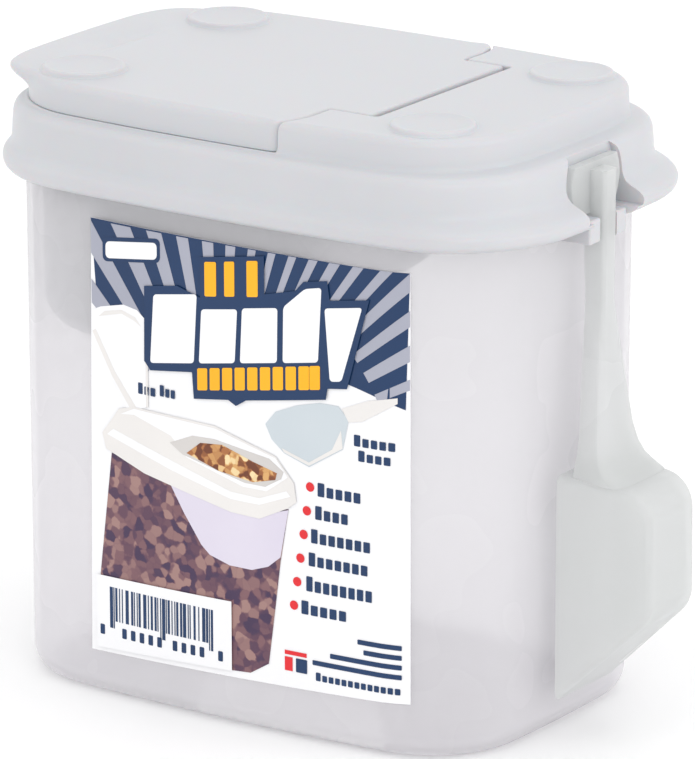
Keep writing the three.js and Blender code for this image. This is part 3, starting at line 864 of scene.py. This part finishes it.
def make_label():
    film = ink("white_label_film", "#F4F4F6", "#F1F1F3")
    navy = ink("navy_ink", "#0F3560", "#0D3059")
    silver = ink("silver_grey_ink", "#A9ABB9", "#A2A4B2")
    yellow = ink("yellow_ink", "#FDB717", "#F9B012")
    red = ink("red_ink", "#E3272F", "#DC232B")
    soft = ink("pale_grey_ink", "#E9E6E3", "#E2DFDD")
    grey = ink("light_grey_ink", "#D2CECB", "#CAC6C3")
    lilac = ink("lilac_ink", "#DCD6E4", "#D5CEDF")
    pearl = ink("pale_blue_grey_ink", "#CBD3D8", "#C4CDD3")
    nuts = nut_picture("printed_nuts", ("#6E3A22", "#A86A3C", "#D9A86A", "#EFD9A8"), 1.5)
    fill = nut_picture("printed_nuts_in_haze", ("#43304F", "#5F4053", "#7E5A60", "#A07D78"), 1.9)

    printed("label_film", film, 0, [LABEL_CORNERS], thickness=LABEL_FILM)
    printed("label_blue_panel", navy, 1, [panel_outline()])
    printed("label_rays", silver, 2, [ray_outline(*ray) for ray in RAYS], trim=True)

    # picture of the dispenser, with its flap open
    printed("label_flap", film, 3, [[
        (-31.4, 84.5), (-29, 85.6), (-23, 87), (-19.5, 86.4), (-17, 84.5), (-17.3, 75.5), (-17.3, 66),
        (-22, 64), (-25.5, 69.5), (-29, 73.5), (-31.4, 78),
    ]])
    printed("label_flap_edge", soft, 4, [
        [(-31.3, 80), (-30.4, 80.6), (-25.5, 72.3), (-19, 64.3), (-20.8, 64), (-26.3, 71.3)],
        [(-29.6, 83.4), (-28, 84.8), (-23.5, 85.8), (-20, 84.8), (-18.4, 83), (-20.2, 84), (-23.5, 85),
         (-27.4, 84)],
        [(-17.4, 66), (-17.4, 75.6), (-16.8, 75.6), (-16.8, 66)],
    ])
    printed("label_picture_body", fill, 2, [[
        (-26.6, 54.5), (-18, 52.5), (4, 48.3), (11, 48.3), (18, 50.2), (16, 38.5), (14.5, 27), (13, 16),
        (8.5, 13.2), (4, 12.9), (-30, 12.2), (-30, 27.5),
    ]])
    printed("label_picture_tray", lilac, 3, [[
        (-12, 51.5), (4, 47.8), (11, 47.8), (18, 50), (16, 39.5), (13, 37), (9, 35.6), (3.5, 35.6),
        (-1.5, 37), (-3.6, 38.8), (-8, 45),
    ]])
    printed("label_picture_lid", soft, 5, [[
        (-29, 58.5), (-26.6, 61.5), (-24.5, 64.4), (-20.5, 65.5), (0, 65), (15, 61), (19.4, 56),
        (20, 52), (18, 50.4), (11, 47), (4, 47.2), (-18, 51.6), (-28, 55.2),
    ]])
    printed("label_picture_deck", film, 6, [
        [(-24, 63.4), (-20.5, 63.8), (-11, 61), (-7, 57), (7, 53.2), (12.8, 53.2), (18, 57), (15, 60.6),
         (0, 64.5), (-20.5, 65.1)],
        [(-27.6, 58.4), (-26, 59.8), (-10, 55.4), (4, 51.6), (11, 51.4), (17.6, 54), (18.6, 53),
         (11, 50), (4, 50), (-11, 53.6)],
    ])
    printed("label_picture_mouth", grey, 7, [[
        (-11.3, 59.5), (-5.5, 62), (0, 62.2), (13.5, 60.3), (17, 58), (16.4, 56.4), (12.5, 54.1),
        (7.5, 54.1), (-8, 57.5),
    ]])
    printed("label_picture_nuts", nuts, 8, [[
        (-7, 58), (-3.5, 60.8), (2, 61.3), (9.5, 59), (15.4, 57.5), (15, 56), (9.5, 54.6), (1, 55.6),
    ]])
    printed("label_picture_scoop", pearl, 2, [[
        (12.5, 67.5), (15, 70.5), (20, 72.6), (25.5, 74), (30, 74), (32.4, 71.4), (31, 65), (23, 60),
        (17, 62), (14, 64.5),
    ]])
    printed("label_picture_scoop_rim", soft, 3, [
        [(30.8, 73.6), (37, 76.2), (43.4, 77.6), (43.4, 76.4), (35.6, 71.6), (32.4, 71)],
        [(16.5, 63), (23, 61), (28.5, 64.6), (30.6, 69), (31, 65.2), (23, 60.3), (17, 62.2)],
    ])

    # plain panels, bars and blocks stand in for all wording
    printed("label_title_shadow", navy, 9, [
        [(-17.4, 92), (-9, 93.4), (-3.2, 91.8), (-3.2, 100.4), (12.6, 103), (12.6, 95), (20, 96.8),
         (22, 99), (27.6, 100), (28.2, 96), (37.4, 97.4), (32.2, 78), (27.6, 77.4), (27.2, 75),
         (8, 71.8), (5.5, 70.2), (3.6, 71.2), (-5, 70), (-5.4, 75.6), (-16, 74.2), (-17.6, 76)],
    ])
    printed("label_title_blocks", film, 10, [
        [(-15, 90.6), (-4, 92.4), (-4.9, 77.6), (-16, 75.8)],
        [(-2.9, 89.4), (6, 90.8), (5.3, 79.3), (-3.6, 77.8)],
        [(7.2, 91.2), (15.8, 92.6), (15.6, 81), (6.6, 79.5)],
        [(17.2, 93), (22.4, 97.6), (26.3, 98.4), (25.4, 82.6), (17, 81.2)],
        [(27, 94.2), (35.8, 95.6), (30.9, 79.4), (28.2, 79)],
    ], rounding=0.7)
    printed("label_yellow_blocks", yellow, 11, [
        bar(-2, 0.9, 92.3, 99.6, 0.4), bar(2.9, 5.4, 93, 100.4, 0.4), bar(8.4, 11.1, 93.8, 101.4, 0.4),
        *(bar(x, x + 2.5, 72 + (x + 4) * 0.165, 76.7 + (x + 4) * 0.178, 0.4)
          for x in (-4, -0.9, 2.2, 5.3, 8.4, 11.5, 14.6, 17.7, 20.8, 23.4)),
    ], rounding=0.35)
    printed("label_badge_edge", navy, 3, [bar(-28.3, -13.4, 95.4, 100.6, 2)], rounding=1.2)
    printed("label_badge", film, 4, [bar(-27.5, -14.2, 96.2, 99.8, 1.8)], rounding=1)
    printed("label_bullets", red, 2, [
        disc(23.2 - i * 0.8, 55.8 - i * 5.2, 1.0) for i in range(6)
    ] + [[(16.9, 19.8), (22.2, 19.8), (22.2, 18.9), (16.9, 18.9)], bar(16.9, 18.8, 15.4, 18.4)])
    words = [
        bar(25, 35.6, 54.1, 57), bar(24.4, 32.6, 49.1, 52), bar(23.4, 37.8, 43.9, 46.9),
        bar(22.8, 37.2, 38.9, 41.8), bar(22.2, 38.2, 33.4, 36.6), bar(21, 32.2, 28.3, 31.2),
        bar(33.6, 43.4, 66.2, 68.6), bar(34.6, 42.4, 63.1, 65.4),
    ]
    printed("label_words", navy, 2, [
        piece for x0, z0, x1, z1 in ((w[0][0], w[0][1], w[1][0], w[2][1]) for w in words)
        for piece in word_pieces(x0, x1, z0, z1, 2.1)
    ] + [
        bar(19.6, 22.3, 15.4, 18.4),
        *(bar(x, 44.2, z, z + 1.05) for x, z in ((34.3, 24), (35.7, 21.9), (27.8, 19.8), (23.6, 17.7))),
        *word_pieces(24.4, 44.3, 14.4, 16.2, 1.5),
    ], rounding=0.2)
    printed("label_note", navy, 4, word_pieces(-19.4, -14.6, 68.6, 71, 1.7)
            + word_pieces(-13.8, -9.6, 69, 71.4, 1.5), rounding=0.2)

    # stock code panel: white, with bars of uneven width
    printed("label_code_panel", film, 9, [[(-31, 27.3), (4, 27.9), (4, 12.8), (-31, 11.4)]])
    widths = (3, 1, 2, 1, 1, 3, 2, 1, 1, 2, 3, 1, 2, 2, 1, 1,
              3, 1, 2, 1, 1, 2, 2, 3, 1, 1, 2, 1, 3, 2, 1, 2)
    bars, x = [], -27.4
    for i, width in enumerate(widths):
        low = 16.2 if i in (0, 1, 15, 16, 30, 31) else 17.8
        bars.append(bar(x, x + width * 0.28, low, 25.2))
        x += (width + widths[(i * 5 + 3) % len(widths)]) * 0.245
    printed("label_code_bars", navy, 10, bars)
    printed("label_code_digits", navy, 10, [
        bar(x, x + 1.2, 14.4, 16.6)
        for x in (-30, -24.2, -21.9, -19.6, -17.3, -15, -11, -8.7, -6.4, -4.1, 0.6)
    ], rounding=0.25)


# ------------------------------------------------------------- scene

def make_floor():
    bm = bmesh.new()
    bmesh.ops.create_grid(bm, x_segments=1, y_segments=1, size=6)
    material, tree, output = new_material("studio_floor")
    # an even pale surface that only takes the soft shadow
    shader = add(tree, "ShaderNodeBsdfDiffuse", {"Color": (0.97, 0.97, 0.97, 1)})
    tree.links.new(shader.outputs[0], output.inputs["Surface"])
    floor = as_object(bm, "studio_floor")
    floor.data.materials.append(material)


def area_light(name, place, target, size, power):
    data = bpy.data.lights.new(name, "AREA")
    data.shape = "SQUARE"
    data.size = size
    data.energy = power
    light = bpy.data.objects.new(name, data)
    light.location = place
    light.rotation_euler = (Vector(target) - Vector(place)).to_track_quat("-Z", "Y").to_euler()
    bpy.context.scene.collection.objects.link(light)


def make_lights():
    world = bpy.data.worlds.new("studio")
    world.use_nodes = True
    background = world.node_tree.nodes["Background"]
    background.inputs["Color"].default_value = (1, 1, 1, 1)
    background.inputs["Strength"].default_value = 1.0
    bpy.context.scene.world = world
    middle = (0, 0, 0.07)
    area_light("overhead", (0.1, 0.1, 1.4), middle, 1.2, 2)
    area_light("left", (-1.1, -0.6, 0.7), middle, 0.8, 1)
    area_light("front", (0.9, -0.9, 0.8), middle, 0.7, 2.4)
    area_light("right", (1.1, 0.1, 0.5), middle, 0.7, 1.6)


def make_camera():
    azimuth = math.radians(34.014)
    elevation = math.radians(16.551)
    distance = 1.4419
    right = Vector((math.cos(azimuth), math.sin(azimuth), 0))
    target = Vector((0, 0, 0.06472)) + right * 0.004107
    direction = Vector((
        math.sin(azimuth) * math.cos(elevation), -math.cos(azimuth) * math.cos(elevation),
        math.sin(elevation),
    ))
    data = bpy.data.cameras.new("camera")
    data.sensor_width = 36
    data.lens = 326.9
    data.clip_end = 50
    camera = bpy.data.objects.new("camera", data)
    camera.location = target + direction * distance
    camera.rotation_euler = (-direction).to_track_quat("-Z", "Y").to_euler()
    bpy.context.scene.collection.objects.link(camera)
    bpy.context.scene.camera = camera


make_container()
make_lid()
make_door()
make_tray()
make_scoop()
make_label()
make_floor()
make_lights()
make_camera()
bpy.context.scene.view_settings.view_transform = "Standard"
